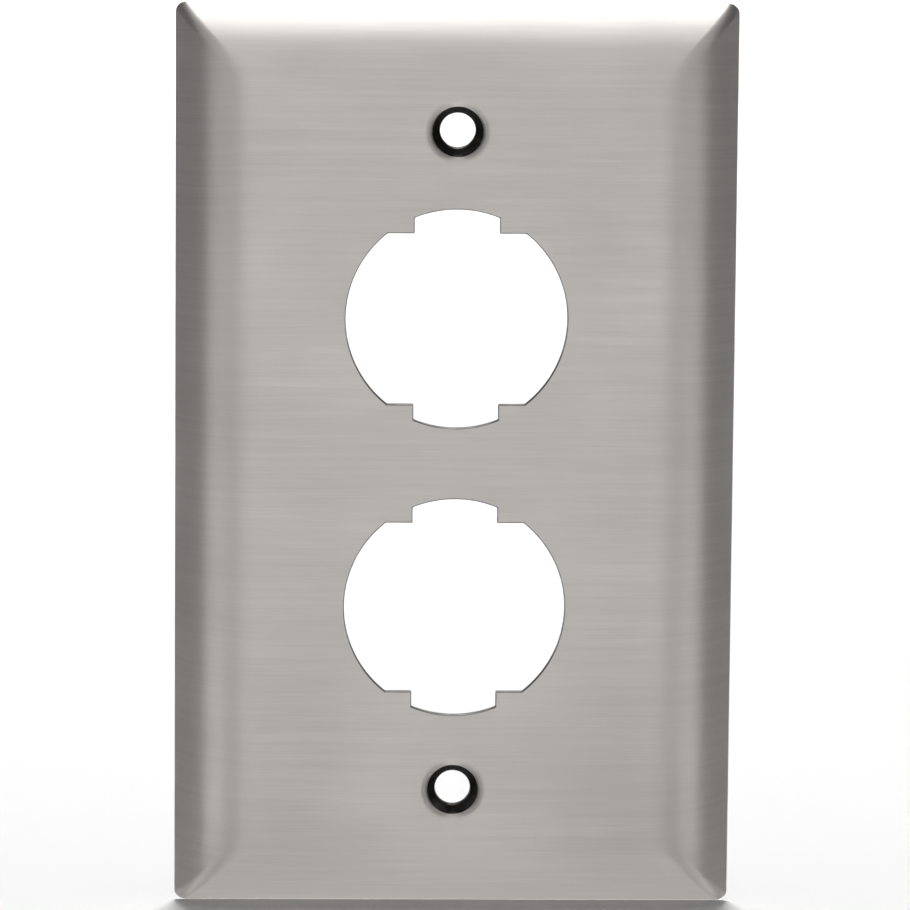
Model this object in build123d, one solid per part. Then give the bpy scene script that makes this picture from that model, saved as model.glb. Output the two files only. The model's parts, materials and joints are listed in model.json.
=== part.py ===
from build123d import *

import math
import os

# Single-gang wall plate cover, pressed from brushed stainless sheet, with a foam gasket
# die-cut to fill its hollow back.
#
# Frame: the plate stands upright, as it hangs on a wall. +Z is up, +X is to the right of
# someone facing the plate, and the front faces -Y. The wall plane is Y = 0: the plate's rim
# and the gasket's back both lie on it. The origin is the middle of the screw line, on the
# wall plane. Sizes are in millimetres.

# ---- plate, outside ----
PLATE_WIDTH = 69.85        # 2.75 in
PLATE_HEIGHT = 114.3       # 4.5 in
PLATE_DEPTH = 5.6          # wall plane to front face, 0.22 in
SHEET = 0.9                # sheet thickness
BEVEL_WIDTH = 9.0          # how far in from the outline the curved edge runs
RIM_CORNER_RADIUS = 1.4    # outline's corner, seen from the front

# ---- screw holes: 82 degree dimples pressed for oval-head screws ----
SCREW_SPACING = 83.34      # 3.281 in, the spacing of a device box's ears
SCREW_HOLE_RADIUS = 2.2
DIMPLE_RADIUS = 3.55       # where the cone would meet the face if it were sharp
DIMPLE_HALF_ANGLE = 41.0   # degrees, half of 82
DIMPLE_WALL = 0.7          # the sheet is drawn thinner in the cone
DIMPLE_FRONT_ROUND = 0.45
DIMPLE_BACK_ROUND = 0.9
DIMPLE_BLEND_RADIUS = 5.6  # the dimple's insert meets the untouched sheet here

# ---- device openings: round, with two flats and two key notches ----
OPENING_SPACING = 36.5     # centre to centre
OPENING_RADIUS = 13.75
OPENING_FLAT_GAP = 21.5    # flat to flat
KEY_WIDTH = 10.7           # the notches reach the full circle
KEY_CORNER_ROUND = 0.35

# ---- gasket ----
GASKET_GAP = 0.3           # clearance to the plate's curved inner walls
GASKET_OUTER_WIDTH = 65.0
GASKET_OUTER_HEIGHT = 109.4
GASKET_OUTER_CORNER = 2.5
GASKET_WINDOW_WIDTH = 46.0
GASKET_WINDOW_HEIGHT = 69.0
GASKET_WINDOW_CORNER = 4.0
GASKET_SCREW_HOLE_RADIUS = 4.7

FACE_Y = -PLATE_DEPTH
INSIDE_Y = FACE_Y + SHEET
OPENING_HEIGHTS = (OPENING_SPACING / 2, -OPENING_SPACING / 2)
SCREW_HEIGHTS = (SCREW_SPACING / 2, -SCREW_SPACING / 2)

# The curved edge is one arc, tangent to the face and cut off by the wall plane.
EDGE_RADIUS = (BEVEL_WIDTH**2 + PLATE_DEPTH**2) / (2 * PLATE_DEPTH)
ARC_CENTRE_Y = FACE_Y + EDGE_RADIUS


def dished_section(plane, width, inset):
    """Closed section of the dished plate: flat front, an arc each side, back on the wall plane."""
    radius = EDGE_RADIUS - inset
    face_half = width / 2 - BEVEL_WIDTH
    rim_half = face_half + math.sqrt(radius**2 - ARC_CENTRE_Y**2)
    front = FACE_Y + inset
    mid_turn = math.asin((rim_half - face_half) / radius) / 2
    mid_side = face_half + radius * math.sin(mid_turn)
    mid_y = ARC_CENTRE_Y - radius * math.cos(mid_turn)
    with BuildSketch(plane) as section:
        with BuildLine():
            Polyline((-face_half, front), (face_half, front))
            ThreePointArc((face_half, front), (mid_side, mid_y), (rim_half, 0))
            Polyline((rim_half, 0), (-rim_half, 0))
            ThreePointArc((-rim_half, 0), (-mid_side, mid_y), (-face_half, front))
        make_face()
    return section.sketch


def dished_block(inset, gap=0.0):
    """Solid bounded by the plate's outside (inset 0) or by a surface that far inside it.

    The side arcs and the top and bottom arcs each run the whole way, so they meet in
    mitred creases at the corners, as on a pressed plate. A gap draws the arcs in towards
    the middle and leaves the flat front where it is.
    """
    across = Plane(origin=(0, 0, 0), x_dir=(1, 0, 0), z_dir=(0, 0, 1))
    upright = Plane(origin=(0, 0, 0), x_dir=(0, 0, 1), z_dir=(-1, 0, 0))
    side_section = dished_section(across, PLATE_WIDTH - 2 * gap, inset)
    end_section = dished_section(upright, PLATE_HEIGHT - 2 * gap, inset)
    side_curves = extrude(side_section, PLATE_HEIGHT, both=True)
    end_curves = extrude(end_section, PLATE_WIDTH, both=True)
    return side_curves & end_curves


def front_prism(sketch_part, y_from, y_to):
    """Extrude a sketch drawn on the front view (X across, Z up) between two depths."""
    front_view = Plane(origin=(0, y_to, 0), x_dir=(1, 0, 0), z_dir=(0, -1, 0))
    return extrude(front_view * sketch_part, y_to - y_from)


def keyed_opening():
    """Outline of one device opening: a circle cut by two flats, keyed top and bottom."""
    body = Rectangle(2 * OPENING_RADIUS, OPENING_FLAT_GAP)
    key = Rectangle(KEY_WIDTH, 2 * OPENING_RADIUS)
    outline = Circle(OPENING_RADIUS) & (body + key)
    key_corners = [
        corner for corner in outline.vertices()
        if abs(abs(corner.X) - KEY_WIDTH / 2) < 0.01
    ]
    return fillet(key_corners, KEY_CORNER_ROUND)


def screw_dimple():
    """Ring of sheet drawn back into an 82 degree cone, pierced by the screw hole."""
    slope = math.tan(math.radians(DIMPLE_HALF_ANGLE))
    wall_across = DIMPLE_WALL / math.cos(math.radians(DIMPLE_HALF_ANGLE))
    cone_end_y = FACE_Y + (DIMPLE_RADIUS - SCREW_HOLE_RADIUS) / slope
    back_radius = DIMPLE_RADIUS + wall_across - SHEET * slope
    back_end_y = INSIDE_Y + (back_radius - SCREW_HOLE_RADIUS) / slope
    half_section = Plane(origin=(0, 0, 0), x_dir=(1, 0, 0), z_dir=(0, 0, 1))
    with BuildSketch(half_section) as section:
        with BuildLine():
            Polyline(
                (DIMPLE_BLEND_RADIUS, FACE_Y),
                (DIMPLE_RADIUS, FACE_Y),
                (SCREW_HOLE_RADIUS, cone_end_y),
                (SCREW_HOLE_RADIUS, back_end_y),
                (back_radius, INSIDE_Y),
                (DIMPLE_BLEND_RADIUS, INSIDE_Y),
                close=True,
            )
        make_face()
        front_corner = section.vertices().sort_by_distance((DIMPLE_RADIUS, FACE_Y, 0))[0]
        fillet(front_corner, DIMPLE_FRONT_ROUND)
        back_corner = section.vertices().sort_by_distance((back_radius, INSIDE_Y, 0))[0]
        fillet(back_corner, DIMPLE_BACK_ROUND)
    return revolve(section.sketch, Axis.Y)


def rim_corner_trims():
    """What rounding the outline's four corners takes off, seen from the front."""
    reach = 2 * RIM_CORNER_RADIUS
    trim = Rectangle(reach, reach, align=(Align.MIN, Align.MIN)) - Circle(RIM_CORNER_RADIUS)
    inner_x = PLATE_WIDTH / 2 - RIM_CORNER_RADIUS
    inner_z = PLATE_HEIGHT / 2 - RIM_CORNER_RADIUS
    signs = ((1, 1), (-1, 1), (-1, -1), (1, -1))
    return [
        Pos(side * inner_x, end * inner_z) * Rot(0, 0, 90 * turn) * trim
        for turn, (side, end) in enumerate(signs)
    ]


def make_faceplate():
    plate = dished_block(0) - dished_block(SHEET)
    for trim in rim_corner_trims():
        plate -= front_prism(trim, FACE_Y - 1, 1)
    for height in OPENING_HEIGHTS:
        plate -= front_prism(Pos(0, height) * keyed_opening(), FACE_Y - 1, 1)
    for height in SCREW_HEIGHTS:
        blank = front_prism(Pos(0, height) * Circle(DIMPLE_BLEND_RADIUS), FACE_Y - 1, 1)
        plate -= blank
        plate += Pos(0, 0, height) * screw_dimple()
    return plate


def make_rear_gasket():
    outline = RectangleRounded(GASKET_OUTER_WIDTH, GASKET_OUTER_HEIGHT, GASKET_OUTER_CORNER)
    window = RectangleRounded(GASKET_WINDOW_WIDTH, GASKET_WINDOW_HEIGHT, GASKET_WINDOW_CORNER)
    screw_holes = Sketch() + [
        Pos(0, height) * Circle(GASKET_SCREW_HOLE_RADIUS) for height in SCREW_HEIGHTS
    ]
    ring = front_prism(outline - window - screw_holes, INSIDE_Y, 0)
    return ring & dished_block(SHEET, GASKET_GAP)


os.makedirs("parts", exist_ok=True)
nodes = {
    "faceplate": make_faceplate(),
    "rear_gasket": make_rear_gasket(),
}
for name, shape in nodes.items():
    shape.label = name
    export_step(shape, f"parts/{name}.step")
    size = shape.bounding_box().size
    print(f"{name}: {shape.volume:.0f} mm3, {size.X:.2f} x {size.Y:.2f} x {size.Z:.2f} mm")
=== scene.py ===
import json
import math

import bmesh
import bpy
from mathutils import Matrix, Vector


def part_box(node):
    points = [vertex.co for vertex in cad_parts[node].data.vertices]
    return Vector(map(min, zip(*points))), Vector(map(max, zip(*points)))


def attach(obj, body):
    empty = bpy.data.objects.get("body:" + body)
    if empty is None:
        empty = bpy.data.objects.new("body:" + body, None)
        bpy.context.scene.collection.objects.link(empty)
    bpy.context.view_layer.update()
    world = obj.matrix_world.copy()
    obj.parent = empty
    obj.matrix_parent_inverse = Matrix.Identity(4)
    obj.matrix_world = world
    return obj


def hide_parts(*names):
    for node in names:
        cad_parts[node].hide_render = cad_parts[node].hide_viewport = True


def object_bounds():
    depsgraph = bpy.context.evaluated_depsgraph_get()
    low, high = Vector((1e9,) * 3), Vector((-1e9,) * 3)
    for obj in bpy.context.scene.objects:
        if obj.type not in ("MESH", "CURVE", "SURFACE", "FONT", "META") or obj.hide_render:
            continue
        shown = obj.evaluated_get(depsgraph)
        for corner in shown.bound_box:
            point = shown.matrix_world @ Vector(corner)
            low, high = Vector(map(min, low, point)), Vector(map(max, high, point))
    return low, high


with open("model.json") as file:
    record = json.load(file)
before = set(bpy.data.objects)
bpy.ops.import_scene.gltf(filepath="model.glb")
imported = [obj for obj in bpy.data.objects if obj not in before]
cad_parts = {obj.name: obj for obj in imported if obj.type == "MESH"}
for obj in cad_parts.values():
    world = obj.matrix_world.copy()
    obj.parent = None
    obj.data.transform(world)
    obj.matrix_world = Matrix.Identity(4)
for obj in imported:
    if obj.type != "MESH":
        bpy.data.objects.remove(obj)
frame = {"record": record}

# A pressed stainless wall plate with a foam gasket in its back, standing on a pale floor.
# Metres throughout. The plate's front faces -Y, its wall plane is y = 0 and +Z is up.

cadLow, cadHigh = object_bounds()
mm = 0.001
nearby = 0.01 * mm                  # two places closer than this count as one
touching = 0.001 * mm               # and two vertices closer than this are merged
outlineReach = 1.05                 # a round outline's edges lie within this many radii

plateLow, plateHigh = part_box("faceplate")
plateDepth = plateHigh[1] - plateLow[1]
halfWidth = (plateHigh[0] - plateLow[0]) / 2
halfHeight = (plateHigh[2] - plateLow[2]) / 2
gasketLow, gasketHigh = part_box("rear_gasket")

mounts = {mount["name"]: mount for mount in frame["record"]["mounts"]}
screwDims = mounts["screw_holes"]["dims"]
screwHeights = [side * screwDims["spacing_y_mm"] * mm / 2 for side in (1, -1)]
spaces = {space["name"]: space["box_m"] for space in frame["record"]["physics"]["openings"]}
openingHeights = [
    (spaces[name][0][2] + spaces[name][1][2]) / 2
    for name in ("upper_device_opening", "lower_device_opening")
]
print("frame read: plate", round(halfWidth * 2000, 2), "by", round(halfHeight * 2000, 2), "mm")


def pick(kind, test):
    # selects the vertices, edges or faces that pass the test, and nothing else
    bpy.ops.mesh.select_mode(type=kind)
    bpy.ops.mesh.select_all(action="DESELECT")
    mesh = bmesh.from_edit_mesh(bpy.context.object.data)
    parts = {"VERT": mesh.verts, "EDGE": mesh.edges, "FACE": mesh.faces}[kind]
    for part in parts:
        if test(part):
            part.select_set(True)
    mesh.select_flush_mode()
    bmesh.update_edit_mesh(bpy.context.object.data)


def edgeMiddle(edge):
    return (edge.verts[0].co + edge.verts[1].co) / 2


def startPiece(name):
    # an empty new piece, left in edit mode
    bpy.ops.object.select_all(action="DESELECT")
    bpy.ops.mesh.primitive_plane_add(size=1)
    piece = bpy.context.object
    piece.name = piece.data.name = name
    bpy.ops.object.mode_set(mode="EDIT")
    bpy.ops.mesh.select_all(action="SELECT")
    bpy.ops.mesh.delete(type="VERT")
    return piece


def addRectangle(width, height, y, radius, segments):
    # a rounded rectangle of edges, seen from the front
    bpy.ops.mesh.select_mode(type="VERT")
    bpy.ops.mesh.primitive_plane_add(size=1, location=(0, y, 0), rotation=(math.pi / 2, 0, 0))
    bpy.ops.transform.resize(value=(width, 1, height), center_override=(0, y, 0))
    bpy.ops.mesh.bevel(offset=radius, segments=segments, affect="VERTICES")
    bpy.ops.mesh.delete(type="ONLY_FACE")


def addCircle(radius, sides, height, y):
    bpy.ops.mesh.primitive_circle_add(
        vertices=sides, radius=radius, fill_type="NOTHING",
        location=(0, y, height), rotation=(math.pi / 2, 0, 0))


def fillOutlines(isHole):
    # fills the nested outlines and clears any face that fell in a hole
    bpy.ops.mesh.select_mode(type="EDGE")
    bpy.ops.mesh.select_all(action="SELECT")
    bpy.ops.mesh.fill(use_beauty=True)
    pick("FACE", lambda face: isHole(face.calc_center_median()))
    bpy.ops.mesh.delete(type="FACE")
    bpy.ops.mesh.select_all(action="SELECT")


def growLoop(steps, centre):
    # the selected edge loop is drawn out ring by ring: (scale across, scale up, move in y)
    for across, up, forward in steps:
        bpy.ops.mesh.extrude_edges_move(TRANSFORM_OT_translate={"value": (0, forward, 0)})
        bpy.ops.transform.resize(value=(across, 1, up), center_override=centre)


def applyModifiers(piece):
    bpy.ops.object.select_all(action="DESELECT")
    piece.select_set(True)
    bpy.context.view_layer.objects.active = piece
    for modifier in list(piece.modifiers):
        bpy.ops.object.modifier_apply(modifier=modifier.name)


def addNode(tree, kind, **values):
    node = tree.nodes.new("ShaderNode" + kind)
    for name, value in values.items():
        setattr(node, name, value)
    return node


def joinMath(tree, operation, first, second):
    # a Math node on two inputs, each a socket or a number
    node = addNode(tree, "Math", operation=operation)
    for socket, value in zip(node.inputs, (first, second)):
        if isinstance(value, (int, float)):
            socket.default_value = value
        else:
            tree.links.new(value, socket)
    return node.outputs[0]


def spread(tree, value, low, high, fromLow=0.0, fromHigh=1.0):
    # the value mapped to a range
    node = addNode(tree, "MapRange")
    tree.links.new(value, node.inputs["Value"])
    for name, number in (("From Min", fromLow), ("From Max", fromHigh), ("To Min", low), ("To Max", high)):
        node.inputs[name].default_value = number
    return node.outputs["Result"]


def blendColours(tree, amount, first, second):
    # a colour mix, each side a socket or a colour
    node = addNode(tree, "Mix", data_type="RGBA")
    tree.links.new(amount, node.inputs[0])
    for socket, value in ((node.inputs[6], first), (node.inputs[7], second)):
        if isinstance(value, tuple):
            socket.default_value = (*value, 1)
        else:
            tree.links.new(value, socket)
    return node.outputs[2]


def startGroup(name, inputs, outputs):
    group = bpy.data.node_groups.new(name, "ShaderNodeTree")
    for socketName, kind, default in inputs:
        socket = group.interface.new_socket(socketName, in_out="INPUT", socket_type="NodeSocket" + kind)
        if default is not None:
            socket.default_value = default
    for socketName, kind in outputs:
        group.interface.new_socket(socketName, in_out="OUTPUT", socket_type="NodeSocket" + kind)
    return group, group.nodes.new("NodeGroupInput"), group.nodes.new("NodeGroupOutput")


def useGroup(tree, group, **values):
    node = tree.nodes.new("ShaderNodeGroup")
    node.node_tree = group
    for name, value in values.items():
        socket = node.inputs[name]
        if isinstance(value, (int, float)):
            socket.default_value = value
        else:
            tree.links.new(value, socket)
    return node


def addNoise(group, place, seed, detail, roughness=0.5):
    noise = addNode(group, "TexNoise", noise_dimensions="4D")
    group.links.new(place, noise.inputs["Vector"])
    group.links.new(seed, noise.inputs["W"])
    for name, value in (("Scale", 1), ("Detail", detail), ("Roughness", roughness)):
        noise.inputs[name].default_value = value
    return noise.outputs["Fac"]


def makeLineGrain():
    # long thin marks: noise drawn out along the map's first direction, at two sizes
    group, start, end = startGroup(
        "line grain",
        (
            ("Map", "Vector", None), ("Run", "Float", 12 * mm),
            ("Pitch", "Float", 0.2 * mm), ("Seed", "Float", 0),
        ),
        (("Fine", "Float"), ("Streaks", "Float")))
    # how much longer and wider, what it gives out, noise detail
    sizes = ((1, 1, "Fine", 3.0), (4, 5, "Streaks", 2.0))
    for runFactor, pitchFactor, name, detail in sizes:
        run = joinMath(group, "MULTIPLY", start.outputs["Run"], runFactor)
        pitch = joinMath(group, "MULTIPLY", start.outputs["Pitch"], pitchFactor)
        size = addNode(group, "CombineXYZ")
        group.links.new(run, size.inputs["X"])
        group.links.new(pitch, size.inputs["Y"])
        size.inputs["Z"].default_value = 1
        drawn = addNode(group, "VectorMath", operation="DIVIDE")
        group.links.new(start.outputs["Map"], drawn.inputs[0])
        group.links.new(size.outputs["Vector"], drawn.inputs[1])
        noise = addNoise(group, drawn.outputs["Vector"], start.outputs["Seed"], detail, 0.65)
        group.links.new(spread(group, noise, 0, 1, 0.25, 0.75), end.inputs[name])
    return group


def makeClouding():
    # soft uneven patches: old handling, oil and polish, with much smaller specks
    group, start, end = startGroup(
        "clouding",
        (("Place", "Vector", None), ("Size", "Float", 8 * mm), ("Seed", "Float", 0)),
        (("Patches", "Float"), ("Specks", "Float")))
    # share of the size, what it gives out, noise levels that become 0 and 1
    sizes = ((1, "Patches", 0.3, 0.7), (0.04, "Specks", 0.66, 0.78))
    for factor, name, low, high in sizes:
        size = joinMath(group, "MULTIPLY", start.outputs["Size"], factor)
        placed = addNode(group, "VectorMath", operation="SCALE")
        group.links.new(start.outputs["Place"], placed.inputs[0])
        group.links.new(joinMath(group, "DIVIDE", 1, size), placed.inputs["Scale"])
        noise = addNoise(group, placed.outputs["Vector"], start.outputs["Seed"], 3)
        group.links.new(spread(group, noise, 0, 1, low, high), end.inputs[name])
    return group


lineGrain = makeLineGrain()
clouding = makeClouding()


def newMaterial(name, metallic=0):
    material = bpy.data.materials.new(name)
    material.use_nodes = True
    shader = material.node_tree.nodes["Principled BSDF"]
    shader.inputs["Metallic"].default_value = metallic
    return material, material.node_tree, shader


def addBump(tree, shader, height, distance, strength=1.0):
    bump = addNode(tree, "Bump")
    bump.inputs["Distance"].default_value = distance
    bump.inputs["Strength"].default_value = strength
    tree.links.new(height, bump.inputs["Height"])
    tree.links.new(bump.outputs["Normal"], shader.inputs["Normal"])


def objectPlace(tree):
    return addNode(tree, "TexCoord").outputs["Object"]


def sheetPlace(tree):
    return addNode(tree, "UVMap", uv_map="sheetGrain").outputs["UV"]


def varyRoughness(tree, value, look):
    # rougher where the value is low, smoother where it is high
    return spread(tree, value, look["roughness"] + look["rougher"], look["roughness"] - look["smoother"])


brushed = {
    "colour": (0.74, 0.71, 0.68),
    "lineColour": (0.66, 0.635, 0.61),  # in the deeper brush lines
    "run": 14 * mm,
    "pitch": 0.17 * mm,
    "roughness": 0.60,
    "rougher": 0.05,
    "smoother": 0.05,
    "fineShare": 0.65,              # of the finer lines, the rest are streaks
    "lineDepth": 0.004 * mm,
    "anisotropy": 0.95,
    "acrossLines": 0.25,            # turns the highlight's spread across the brush lines
    "cloudSize": 14 * mm,
    "cloudRoughness": 0.02,
}


def makeBrushedSteel():
    material, tree, shader = newMaterial("brushed stainless", 1)
    links = tree.links
    grain = useGroup(
        tree, lineGrain, Map=sheetPlace(tree), Run=brushed["run"], Pitch=brushed["pitch"], Seed=1.0)
    clouds = useGroup(tree, clouding, Place=objectPlace(tree), Size=brushed["cloudSize"], Seed=2.0)
    fine = joinMath(tree, "MULTIPLY", grain.outputs["Fine"], brushed["fineShare"])
    streaks = joinMath(tree, "MULTIPLY", grain.outputs["Streaks"], 1 - brushed["fineShare"])
    depth = joinMath(tree, "ADD", fine, streaks)
    toned = blendColours(tree, depth, brushed["lineColour"], brushed["colour"])
    links.new(toned, shader.inputs["Base Color"])
    rough = varyRoughness(tree, depth, brushed)
    change = brushed["cloudRoughness"]
    cloudRough = spread(tree, clouds.outputs["Patches"], -change, change)
    links.new(joinMath(tree, "ADD", rough, cloudRough), shader.inputs["Roughness"])
    addBump(tree, shader, depth, brushed["lineDepth"])
    shader.inputs["Anisotropic"].default_value = brushed["anisotropy"]
    shader.inputs["Anisotropic Rotation"].default_value = brushed["acrossLines"]
    tangent = addNode(tree, "Tangent", direction_type="UV_MAP", uv_map="sheetGrain")
    links.new(tangent.outputs["Tangent"], shader.inputs["Tangent"])
    return material


mill = {
    "colour": (0.60, 0.59, 0.575),
    "stain": (0.47, 0.46, 0.45),
    "speckColour": (0.3, 0.29, 0.28),
    "speckStrength": 0.5,
    "cloudSize": 9 * mm,
    "run": 30 * mm,
    "pitch": 0.35 * mm,
    "roughness": 0.38,
    "rougher": 0.08,
    "smoother": 0.05,
    "streakRoughness": 0.04,
    "lineDepth": 0.002 * mm,
}


def makeMillSteel():
    # the sheet's unbrushed side: faint rolling lines, oil patches and a few specks
    material, tree, shader = newMaterial("mill finish stainless", 1)
    links = tree.links
    grain = useGroup(tree, lineGrain, Map=sheetPlace(tree), Run=mill["run"], Pitch=mill["pitch"], Seed=5.0)
    clouds = useGroup(tree, clouding, Place=objectPlace(tree), Size=mill["cloudSize"], Seed=6.0)
    toned = blendColours(tree, clouds.outputs["Patches"], mill["stain"], mill["colour"])
    speckAmount = joinMath(tree, "MULTIPLY", clouds.outputs["Specks"], mill["speckStrength"])
    links.new(blendColours(tree, speckAmount, toned, mill["speckColour"]), shader.inputs["Base Color"])
    rough = varyRoughness(tree, clouds.outputs["Patches"], mill)
    change = mill["streakRoughness"]
    streakRough = spread(tree, grain.outputs["Streaks"], -change, change)
    links.new(joinMath(tree, "ADD", rough, streakRough), shader.inputs["Roughness"])
    addBump(tree, shader, grain.outputs["Streaks"], mill["lineDepth"])
    return material


sheared = {
    # painted shade: both colours of the cut are kept dark to draw a dark line round the openings and edges
    "colour": (0.34, 0.33, 0.315),
    "tornAndShadeColour": (0.16, 0.155, 0.15),  # the torn half of the cut
    "roughness": 0.40,
    "rougher": 0.12,
    "smoother": 0.08,
    "run": 1.2 * mm,
    "pitch": 0.08 * mm,
    "lineDepth": 0.006 * mm,
    "cloudSize": 1.5 * mm,
}


def makeShearedSteel():
    # a punched edge: fine marks straight through the sheet, rougher where it tore, and given a dark
    # colour as painted shade, so that it outlines the openings and the rounded edges
    material, tree, shader = newMaterial("sheared stainless", 1)
    links = tree.links
    place = objectPlace(tree)
    turned = addNode(tree, "Mapping")
    turned.inputs["Rotation"].default_value = (0, 0, math.pi / 2)
    links.new(place, turned.inputs["Vector"])
    grain = useGroup(
        tree, lineGrain, Map=turned.outputs["Vector"], Run=sheared["run"], Pitch=sheared["pitch"], Seed=9.0)
    clouds = useGroup(tree, clouding, Place=place, Size=sheared["cloudSize"], Seed=3.0)
    tone = joinMath(tree, "MULTIPLY", grain.outputs["Fine"], clouds.outputs["Patches"])
    toned = blendColours(tree, tone, sheared["tornAndShadeColour"], sheared["colour"])
    links.new(toned, shader.inputs["Base Color"])
    links.new(varyRoughness(tree, tone, sheared), shader.inputs["Roughness"])
    addBump(tree, shader, grain.outputs["Fine"], sheared["lineDepth"])
    return material


# painted shade: the dimple cones' dark colours stand in for the dark they reflect
paintedShadeCone = {
    "colour": (0.15, 0.145, 0.14),
    "darkColour": (0.03, 0.029, 0.028),
    "roughness": 0.24,
    "rougher": 0.07,
    "smoother": 0.04,
    "run": 2.5 * mm,
    "pitch": 0.15 * mm,
    "lineDepth": 0.002 * mm,
    "cloudSize": 1.8 * mm,
}


def makePaintedShadeSteel():
    # the drawn cone: a painted shade, given a dark colour so that it reads black, though real
    # steel would be dark here only by what it reflects
    material, tree, shader = newMaterial("stainless with painted shade", 1)
    links = tree.links
    place = objectPlace(tree)
    clouds = useGroup(tree, clouding, Place=place, Size=paintedShadeCone["cloudSize"], Seed=4.0)
    grain = useGroup(
        tree, lineGrain, Map=sheetPlace(tree), Run=paintedShadeCone["run"], Pitch=paintedShadeCone["pitch"], Seed=7.0)
    tone = joinMath(tree, "MULTIPLY", clouds.outputs["Patches"], grain.outputs["Streaks"])
    toned = blendColours(tree, tone, paintedShadeCone["darkColour"], paintedShadeCone["colour"])
    links.new(toned, shader.inputs["Base Color"])
    rough = varyRoughness(tree, clouds.outputs["Patches"], paintedShadeCone)
    links.new(rough, shader.inputs["Roughness"])
    addBump(tree, shader, grain.outputs["Fine"], paintedShadeCone["lineDepth"])
    return material


foamLook = {
    # the pit colour, darker than the skin as painted shade
    "colour": (0.020, 0.020, 0.022),
    "skinColour": (0.032, 0.032, 0.034),
    "dust": (0.10, 0.10, 0.095),
    "cellSize": 0.32 * mm,
    "cellDepth": 0.10 * mm,
    "cellSmoothness": 0.35,
    "cellStrength": 0.7,
    "pitRoughness": 0.95,
    "skinRoughness": 0.78,
    "specular": 0.35,
    "cloudSize": 6 * mm,
}


def makeFoam():
    # closed-cell sponge: open pits on the cut faces, a finer skin on the flat ones; the pits are coloured
    # darker as painted shade
    material, tree, shader = newMaterial("black foam")
    links = tree.links
    place = objectPlace(tree)
    cells = addNode(tree, "TexVoronoi", feature="SMOOTH_F1")
    cells.inputs["Scale"].default_value = 1 / foamLook["cellSize"]
    cells.inputs["Smoothness"].default_value = foamLook["cellSmoothness"]
    links.new(place, cells.inputs["Vector"])
    pit = spread(tree, cells.outputs["Distance"], 0, 1, 0.1, 0.6)
    clouds = useGroup(tree, clouding, Place=place, Size=foamLook["cloudSize"], Seed=8.0)
    toned = blendColours(tree, pit, foamLook["colour"], foamLook["skinColour"])
    dustAmount = joinMath(tree, "MULTIPLY", clouds.outputs["Specks"], clouds.outputs["Patches"])
    links.new(blendColours(tree, dustAmount, toned, foamLook["dust"]), shader.inputs["Base Color"])
    rough = spread(tree, pit, foamLook["pitRoughness"], foamLook["skinRoughness"])
    links.new(rough, shader.inputs["Roughness"])
    addBump(tree, shader, pit, foamLook["cellDepth"], foamLook["cellStrength"])
    shader.inputs["Specular IOR Level"].default_value = foamLook["specular"]
    return material


brushedSteel = makeBrushedSteel()
millSteel = makeMillSteel()
shearedSteel = makeShearedSteel()
paintedShadeSteel = makePaintedShadeSteel()
foam = makeFoam()
print("materials made:", len(bpy.data.node_groups), "shared groups")


# The faceplate: one sheet, so it is made as a front skin and a back skin. The front's open
# edges are drawn back to the back's and merged with them.
plate = {
    "sheet": 0.9 * mm,
    "edgeWidth": 10.4 * mm,         # curved edge, from the outline in
    "edgeEase": 1.3,                # 1 is a plain arc, more starts the curve more gently
    "edgeSteps": 26,
    "corner": 1.0 * mm,             # corner rounding where the curve starts
    "cornerSegments": 8,
    "collar": 0.2 * mm,             # ring of faces round every outline on the flat
    "shearRound": 0.14 * mm,        # deburred edges
    "shearSegments": 3,
    "shearedTilt": 0.05,            # a face turned less than this to the front or back is a cut
    "sharpAngle": math.radians(35),  # edges sharper than this are deburred
    "smoothAngle": math.radians(45),
    "unrollTurn": math.radians(50),  # how far the curved edge turns when it is laid flat
    "faceWeight": 80,
}
opening = {
    "radius": 13.75 * mm,
    "flatGap": 21.5 * mm,
    "keyWidth": 10.7 * mm,
    "cornerRound": 0.3 * mm,
    "cornerSegments": 4,
    "chordGap": 0.05 * mm,          # the outline's straight sides fall short of its arc by less
    "sides": 168,
}
dimple = {
    "halfAngle": math.radians(41),
    "frontRadius": 3.55 * mm,       # where the cone would meet the face if it were sharp
    "frontRound": 1.3 * mm,
    "backRadius": 3.695 * mm,
    "backRound": 0.9 * mm,
    "sides": 120,
    "roundSteps": 8,
    "coneSteps": 4,
}
# the sheet's material slots, in the order that makeFaceplate adds them
brushedSlot, millSlot, shearedSlot, paintedShadeSlot = range(4)
flatHalfWidth = halfWidth - plate["edgeWidth"]
flatHalfHeight = halfHeight - plate["edgeWidth"]


def edgeCurve():
    # (reach, depth, turn) along the curved edge, from the flat to the wall plane. The turn
    # grows as a power of the way along, and its last value, in radians, is found by halving.
    samples, halvings = 200, 40
    low, high = 0.2, 1.5
    for _ in range(halvings):
        lastTurn = (low + high) / 2
        turns = [lastTurn * ((step + 0.5) / samples) ** plate["edgeEase"] for step in range(samples)]
        across = sum(math.cos(turn) for turn in turns)
        down = sum(math.sin(turn) for turn in turns)
        if down / across > plateDepth / plate["edgeWidth"]:
            high = lastTurn
        else:
            low = lastTurn
    length = plate["edgeWidth"] / across
    curve = [(0, 0, 0)]
    for step, turn in enumerate(turns):
        reach, depth = curve[-1][:2]
        nextTurn = lastTurn * ((step + 1) / samples) ** plate["edgeEase"]
        curve.append((reach + math.cos(turn) * length, depth + math.sin(turn) * length, nextTurn))
    return curve


def edgeRings(inset):
    # the curve's rings on one side of the sheet, with the last one on the wall plane
    points = [
        (reach - inset * math.sin(turn), depth + inset * math.cos(turn))
        for reach, depth, turn in edgeCurve()
    ]
    points = [point for point in points if point[1] < plateDepth - touching]
    (reach, depth), (lastReach, lastDepth) = points[-2:]
    onward = (plateDepth - lastDepth) / (lastDepth - depth)
    points.append((lastReach + (lastReach - reach) * onward, plateDepth))
    count = plate["edgeSteps"]
    return [points[round(step * (len(points) - 1) / count)] for step in range(count + 1)]


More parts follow.
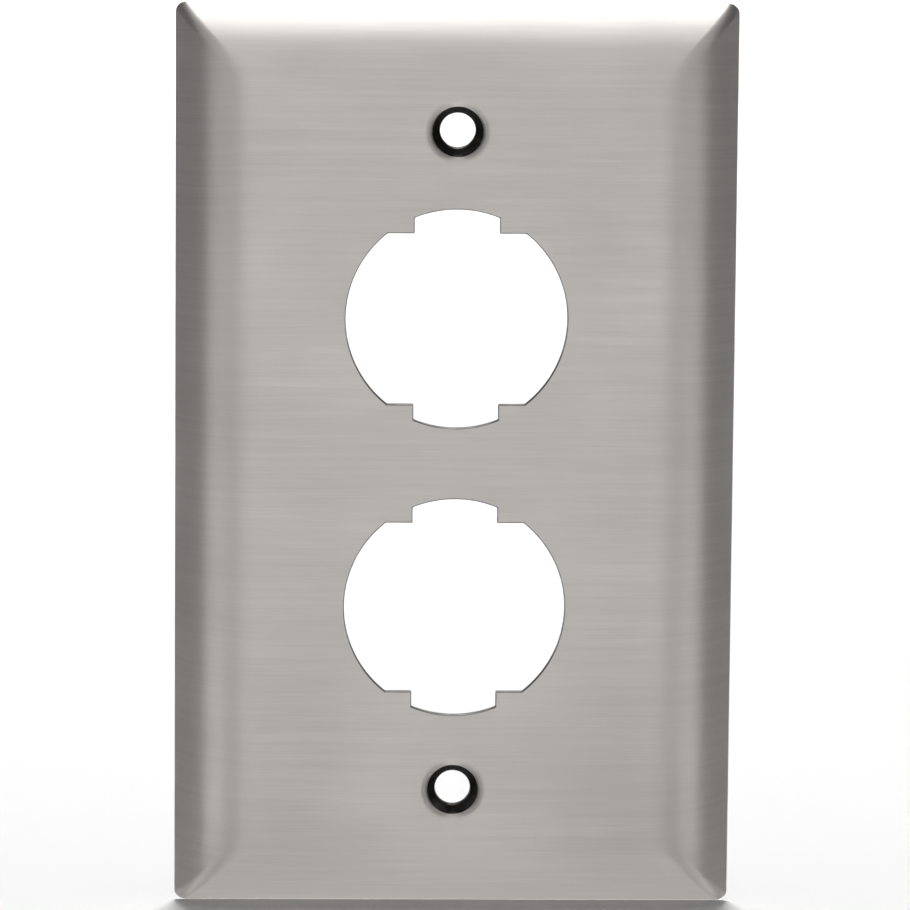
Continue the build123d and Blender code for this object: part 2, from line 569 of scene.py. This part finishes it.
def dimpleProfile(cornerRadius, roundRadius, faceY):
    # (radius, y) down the dimple: a rolled edge, then the straight cone to the hole
    turn = math.pi / 2 - dimple["halfAngle"]
    reach = roundRadius * math.tan(turn / 2)
    points = []
    for step in range(dimple["roundSteps"] + 1):
        angle = turn * step / dimple["roundSteps"]
        radius = cornerRadius + reach - roundRadius * math.sin(angle)
        points.append((radius, faceY + roundRadius * (1 - math.cos(angle))))
    holeRadius = screwDims["hole_r_mm"] * mm
    holeY = faceY + (cornerRadius - holeRadius) / math.tan(dimple["halfAngle"])
    roundEnd = points[-1]
    for step in range(1, dimple["coneSteps"] + 1):
        share = step / dimple["coneSteps"]
        points.append((
            roundEnd[0] + (holeRadius - roundEnd[0]) * share, roundEnd[1] + (holeY - roundEnd[1]) * share))
    return points


def inOpening(place, height):
    across, up = abs(place.x), abs(place.z - height)
    inFlats = up < opening["flatGap"] / 2 or across < opening["keyWidth"] / 2
    return inFlats and math.hypot(across, up) < opening["radius"]


def addOpeningOutline(height, y):
    centre = Vector((0, y, height))
    keyHalf = opening["keyWidth"] / 2
    flatHalf = opening["flatGap"] / 2
    keyReach = math.sqrt(opening["radius"] ** 2 - keyHalf ** 2)
    bpy.ops.mesh.primitive_circle_add(
        vertices=opening["sides"], radius=opening["radius"], fill_type="NGON",
        location=centre, rotation=(math.pi / 2, math.pi / opening["sides"], 0))
    for normal, distance in ((Vector((1, 0, 0)), keyHalf), (Vector((0, 0, 1)), flatHalf)):
        for side in (1, -1):
            pick("FACE", lambda face: True)
            bpy.ops.mesh.bisect(plane_co=centre + normal * distance * side, plane_no=normal)

    def beyondFlat(face):
        middle = face.calc_center_median() - centre
        return abs(middle.x) > keyHalf and abs(middle.z) > flatHalf

    def keyCorner(vert):
        place = vert.co - centre
        onKey = abs(abs(place.x) - keyHalf) < nearby
        atFlat = abs(abs(place.z) - flatHalf) < nearby
        atReach = abs(abs(place.z) - keyReach) < opening["chordGap"]
        return onKey and (atFlat or atReach)

    pick("FACE", beyondFlat)
    bpy.ops.mesh.delete(type="FACE")
    pick("FACE", lambda face: True)
    bpy.ops.mesh.dissolve_faces()
    pick("VERT", keyCorner)
    bpy.ops.mesh.bevel(
        offset=opening["cornerRound"], segments=opening["cornerSegments"], affect="VERTICES")
    pick("FACE", lambda face: True)
    bpy.ops.mesh.delete(type="ONLY_FACE")


def growCurvedEdge(inset, gap):
    # the curved edge, drawn out from the flat's outline to the wall plane
    corner = plate["corner"]
    startWidth, startHeight = flatHalfWidth - gap, flatHalfHeight - gap
    rings = edgeRings(inset)
    steps = [
        (
            (startWidth + nextReach) / (startWidth + reach),
            (startHeight + nextReach) / (startHeight + reach),
            nextDepth - depth,
        )
        for (reach, depth), (nextReach, nextDepth) in zip(rings, rings[1:])
    ]

    def onOutline(edge):
        across, up = abs(edgeMiddle(edge).x) - startWidth, abs(edgeMiddle(edge).z) - startHeight
        inCorner = across > -corner and up > -corner
        return edge.is_boundary and (inCorner or max(across, up) > -nearby)

    pick("EDGE", onOutline)
    growLoop(steps, (0, 0, 0))


def makeSkin(name, inset, profile):
    # one side of the sheet: the flat with its outlines, the curved edge and the dimples
    y = plateLow[1] + inset
    skin = startPiece(name)
    addRectangle(2 * flatHalfWidth, 2 * flatHalfHeight, y, plate["corner"], plate["cornerSegments"])
    for height in openingHeights:
        addOpeningOutline(height, y)
    for height in screwHeights:
        addCircle(profile[0][0], dimple["sides"], height, y)

    def isHole(place):
        inDimple = any(math.hypot(place.x, place.z - height) < profile[0][0] for height in screwHeights)
        return inDimple or any(inOpening(place, height) for height in openingHeights)

    fillOutlines(isHole)
    bpy.ops.mesh.inset(thickness=plate["collar"], use_boundary=True, use_even_offset=True)

    growCurvedEdge(inset, 0)

    # the dimples, drawn in from their circles
    steps = [
        (nextRadius / radius, nextRadius / radius, nextY - ringY)
        for (radius, ringY), (nextRadius, nextY) in zip(profile, profile[1:])
    ]
    for height in screwHeights:
        pick("EDGE", lambda edge: edge.is_boundary and (
            math.hypot(edgeMiddle(edge).x, edgeMiddle(edge).z - height) < profile[0][0] * outlineReach))
        growLoop(steps, (0, 0, height))
    bpy.ops.object.mode_set(mode="OBJECT")
    return skin


def closeSheet(test, forward, across=1, up=1):
    # the front skin's open edge is drawn back onto the back skin's, to be merged with it
    pick("EDGE", lambda edge: (
        edge.is_boundary and edge.link_faces[0].material_index != millSlot and test(edgeMiddle(edge))))
    growLoop([(across, up, forward)], (0, 0, 0))


def isSheared(face):
    onRim = abs(face.calc_center_median().y - plateHigh[1]) < nearby
    return onRim or abs(face.normal.y) < plate["shearedTilt"]


def unrolled(place, flatHalf):
    # how far along the sheet a place is, as if the curved edge were laid flat again
    past = abs(place) - flatHalf
    if past <= 0:
        return place
    fullTurn = plate["unrollTurn"]
    turn = min(past / plate["edgeWidth"], 1) * fullTurn
    return math.copysign(flatHalf + plate["edgeWidth"] * turn / math.sin(fullTurn), place)


def makeFaceplate():
    faceY, insideY = plateLow[1], plateLow[1] + plate["sheet"]
    frontProfile = dimpleProfile(dimple["frontRadius"], dimple["frontRound"], faceY)
    backProfile = dimpleProfile(dimple["backRadius"], dimple["backRound"], insideY)
    front = makeSkin("faceplate_sheet", 0, frontProfile)
    back = makeSkin("faceplate_back", plate["sheet"], backProfile)
    for skin in (front, back):
        for material in (brushedSteel, millSteel, shearedSteel, paintedShadeSteel):
            skin.data.materials.append(material)
    for face in back.data.polygons:
        face.material_index = millSlot
    bpy.ops.object.select_all(action="DESELECT")
    back.select_set(True)
    front.select_set(True)
    bpy.context.view_layer.objects.active = front
    bpy.ops.object.join()

    bpy.ops.object.mode_set(mode="EDIT")
    holeRadius = frontProfile[-1][0]
    (lastReach, lastDepth), backReach = edgeRings(0)[-1], edgeRings(plate["sheet"])[-1][0]
    backAcross = (flatHalfWidth + backReach) / (flatHalfWidth + lastReach)
    backUp = (flatHalfHeight + backReach) / (flatHalfHeight + lastReach)
    closeSheet(lambda place: place.y > faceY + lastDepth - nearby, 0, backAcross, backUp)
    for height in openingHeights:
        closeSheet(
            lambda place: math.hypot(place.x, place.z - height) < opening["radius"] * outlineReach,
            plate["sheet"])
    for height in screwHeights:
        closeSheet(
            lambda place: math.hypot(place.x, place.z - height) < holeRadius * outlineReach,
            backProfile[-1][1] - frontProfile[-1][1])
    pick("FACE", lambda face: True)
    bpy.ops.mesh.remove_doubles(threshold=touching)
    bpy.ops.mesh.normals_make_consistent(inside=False)
    # the cut faces take the sheared colour, dark as painted shade
    front.active_material_index = shearedSlot
    pick("FACE", isSheared)
    bpy.ops.object.material_slot_assign()
    # the dimple cones take the painted shade material, so they read black
    front.active_material_index = paintedShadeSlot
    coneStart, coneEnd = frontProfile[dimple["roundSteps"]], frontProfile[-1]
    pick("FACE", lambda face: (
        coneStart[1] < face.calc_center_median().y < coneEnd[1] and face.material_index == brushedSlot
        and abs(face.calc_center_median().x) < coneStart[0]
        and min(abs(face.calc_center_median().z - height) for height in screwHeights) < coneStart[0]))
    bpy.ops.object.material_slot_assign()
    # the rounded edges take the sheared colour too, a painted shade line along each of them
    pick("EDGE", lambda edge: edge.calc_face_angle(0) > plate["sharpAngle"])
    bpy.ops.mesh.bevel(
        offset=plate["shearRound"], segments=plate["shearSegments"], affect="EDGES",
        material=shearedSlot)
    bpy.ops.object.mode_set(mode="OBJECT")

    # the brush lines follow the sheet, so its map is the sheet laid flat
    grain = front.data.uv_layers.new(name="sheetGrain")
    for loop in front.data.loops:
        place = front.data.vertices[loop.vertex_index].co
        grain.data[loop.index].uv = (unrolled(place.x, flatHalfWidth), unrolled(place.z, flatHalfHeight))
    bpy.ops.object.shade_smooth_by_angle(angle=plate["smoothAngle"])
    weighted = front.modifiers.new("faceWeights", "WEIGHTED_NORMAL")
    weighted.mode = "FACE_AREA"
    weighted.weight = plate["faceWeight"]
    weighted.keep_sharp = True
    applyModifiers(front)
    return front


# The gasket: die-cut foam that fills the hollow back, with a window for the devices and
# clearance round the screws.
gasket = {
    "gap": 0.3 * mm,                # to the plate's curved inner walls
    "corner": 2.5 * mm,
    "cornerSegments": 6,
    "windowWidth": 46.0 * mm,
    "windowHeight": 69.0 * mm,
    "windowCorner": 4.0 * mm,
    "windowSegments": 8,
    "screwHole": 4.7 * mm,
    "screwHoleSides": 48,
    "hollowSegments": 4,            # in the corners of the space it is cut to
    "blockDepth": 1.2,              # of its own depth, before it is cut to that space
    "meshSize": 0.42 * mm,
    "softening": 4,                 # smoothing rounds, more gives rounder cut edges
    "pitDepth": 0.12 * mm,
    "pitSize": 0.9 * mm,
    "pitDetail": 2,
}


def makeHollow():
    # the space inside the plate, closed at the wall plane
    hollow = startPiece("hollow")
    width, height = 2 * (flatHalfWidth - gasket["gap"]), 2 * (flatHalfHeight - gasket["gap"])
    addRectangle(width, height, gasketLow[1], plate["corner"], gasket["hollowSegments"])
    fillOutlines(lambda place: False)
    growCurvedEdge(plate["sheet"], gasket["gap"])
    bpy.ops.mesh.fill(use_beauty=True)
    bpy.ops.mesh.select_all(action="SELECT")
    bpy.ops.mesh.normals_make_consistent(inside=False)
    bpy.ops.object.mode_set(mode="OBJECT")
    return hollow


def makeGasket():
    width = gasketHigh[0] - gasketLow[0]
    height = gasketHigh[2] - gasketLow[2]
    backY = gasketHigh[1]
    piece = startPiece("foam_gasket")
    addRectangle(width, height, backY, gasket["corner"], gasket["cornerSegments"])
    addRectangle(
        gasket["windowWidth"], gasket["windowHeight"], backY,
        gasket["windowCorner"], gasket["windowSegments"])
    for screwHeight in screwHeights:
        addCircle(gasket["screwHole"], gasket["screwHoleSides"], screwHeight, backY)

    def isHole(place):
        inWindow = abs(place.x) < gasket["windowWidth"] / 2 and abs(place.z) < gasket["windowHeight"] / 2
        return inWindow or any(
            math.hypot(place.x, place.z - screwHeight) < gasket["screwHole"]
            for screwHeight in screwHeights)

    fillOutlines(isHole)
    depth = gasket["blockDepth"] * (gasketLow[1] - backY)
    bpy.ops.mesh.extrude_region_move(TRANSFORM_OT_translate={"value": (0, depth, 0)})
    bpy.ops.mesh.select_all(action="SELECT")
    bpy.ops.mesh.normals_make_consistent(inside=False)
    bpy.ops.object.mode_set(mode="OBJECT")

    # cut to the hollow, then meshed finely, softened at its edges and pitted like cut foam
    hollow = makeHollow()
    cut = piece.modifiers.new("hollowCut", "BOOLEAN")
    cut.operation = "INTERSECT"
    cut.solver = "EXACT"
    cut.object = hollow
    cells = piece.modifiers.new("cells", "REMESH")
    cells.mode = "VOXEL"
    cells.voxel_size = gasket["meshSize"]
    soften = piece.modifiers.new("soften", "SMOOTH")
    soften.iterations = gasket["softening"]
    pits = piece.modifiers.new("pits", "DISPLACE")
    pits.texture = bpy.data.textures.new("foamPits", "CLOUDS")
    pits.texture.noise_scale = gasket["pitSize"]
    pits.texture.noise_depth = gasket["pitDetail"]
    pits.strength = gasket["pitDepth"]
    pits.mid_level = 1.0
    applyModifiers(piece)
    bpy.data.objects.remove(hollow)
    bpy.ops.object.shade_smooth()
    piece.data.materials.append(foam)
    return piece


faceplate = makeFaceplate()
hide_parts("faceplate")
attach(faceplate, "root")
print("faceplate modelled:", len(faceplate.data.polygons), "faces")

foamGasket = makeGasket()
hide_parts("rear_gasket")
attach(foamGasket, "root")
print("gasket modelled:", len(foamGasket.data.polygons), "faces")


studio = {
    "floorSize": 8.0,
    "floorColour": (0.92, 0.92, 0.92),
    "floorRoughness": 0.7,
    "floorSpecular": 0.2,
    "roomColour": (0.03, 0.03, 0.03),
}
# name: place, what it points at, width, height, power in watts, beam in degrees
lamps = {
    "overheadBox": ((0, 0.38, 0.85), (0, 0.20, 0), 0.35, 0.20, 8.0, 180),
    "rearBox": ((0, 0.60, 0.85), (0, 0.30, 0), 0.35, 0.20, 1.0, 180),
    "frontBox": ((0, -1.40, 0.10), (0, 0, 0), 1.70, 0.30, 5.5, 180),
    "ceilingBox": ((0, -0.06, 0.85), (0, -0.03, 0), 0.30, 0.10, 0.6, 180),
    "footStrip": ((0, -0.32, -0.040), (0, 0, -0.050), 0.20, 0.02, 0.15, 180),
    "footLeft": ((-0.14, -0.12, -0.045), (-0.03, 0, -0.050), 0.08, 0.02, 0.04, 180),
    "footRight": ((0.14, -0.12, -0.045), (0.03, 0, -0.050), 0.08, 0.02, 0.04, 180),
    "floorLampBack": ((0, 0.20, 1.40), (0, 0.20, 0), 0.15, 0.15, 0.1, 34),
    "floorLampNear": ((0, 0.70, 1.40), (0, 0.70, 0), 0.15, 0.15, 0.3, 24),
    "floorLampFar": ((0, 1.05, 1.40), (0, 1.05, 0), 0.15, 0.15, 0.8, 24),
}
view = {
    "azimuth": math.radians(-1.447),
    "elevation": math.radians(10.96),
    "roll": math.radians(0.489),
    "distance": 1.001,
    "aim": Vector((0.00009, 0, 0.00005)),
    "lens": 316.7,
    "nearLimit": 0.01,
}


def makeFloor():
    bpy.ops.object.select_all(action="DESELECT")
    bpy.ops.mesh.primitive_plane_add(size=studio["floorSize"], location=(0, 0, cadLow[2]))
    floor = bpy.context.object
    floor.name = "floor"
    material, tree, shader = newMaterial("pale floor")
    shader.inputs["Base Color"].default_value = (*studio["floorColour"], 1)
    shader.inputs["Roughness"].default_value = studio["floorRoughness"]
    shader.inputs["Specular IOR Level"].default_value = studio["floorSpecular"]
    floor.data.materials.append(material)


def makeLamps():
    for name, (place, target, width, height, power, beam) in lamps.items():
        bpy.ops.object.light_add(type="AREA", location=place)
        lamp = bpy.context.object
        lamp.name = name
        lamp.data.shape = "RECTANGLE"
        lamp.data.size = width
        lamp.data.size_y = height
        lamp.data.energy = power
        lamp.data.spread = math.radians(beam)
        lamp.visible_camera = False
        lamp.rotation_euler = (Vector(target) - Vector(place)).to_track_quat("-Z", "Y").to_euler()


def makeCamera():
    azimuth, elevation = view["azimuth"], view["elevation"]
    outward = Vector((
        math.sin(azimuth) * math.cos(elevation),
        -math.cos(azimuth) * math.cos(elevation),
        math.sin(elevation),
    ))
    place = view["distance"] * outward
    look = (view["aim"] - place).to_track_quat("-Z", "Y").to_matrix()
    bpy.ops.object.camera_add(location=place)
    camera = bpy.context.object
    camera.rotation_euler = (look @ Matrix.Rotation(view["roll"], 3, "Z")).to_euler()
    camera.data.lens = view["lens"]
    camera.data.clip_start = view["nearLimit"]
    bpy.context.scene.camera = camera


makeFloor()
makeLamps()
makeCamera()
world = bpy.data.worlds.new("room")
world.use_nodes = True
world.node_tree.nodes["Background"].inputs["Color"].default_value = (*studio["roomColour"], 1)
bpy.context.scene.world = world
bpy.context.scene.view_settings.view_transform = "Standard"
print("floor, lamps and camera placed")
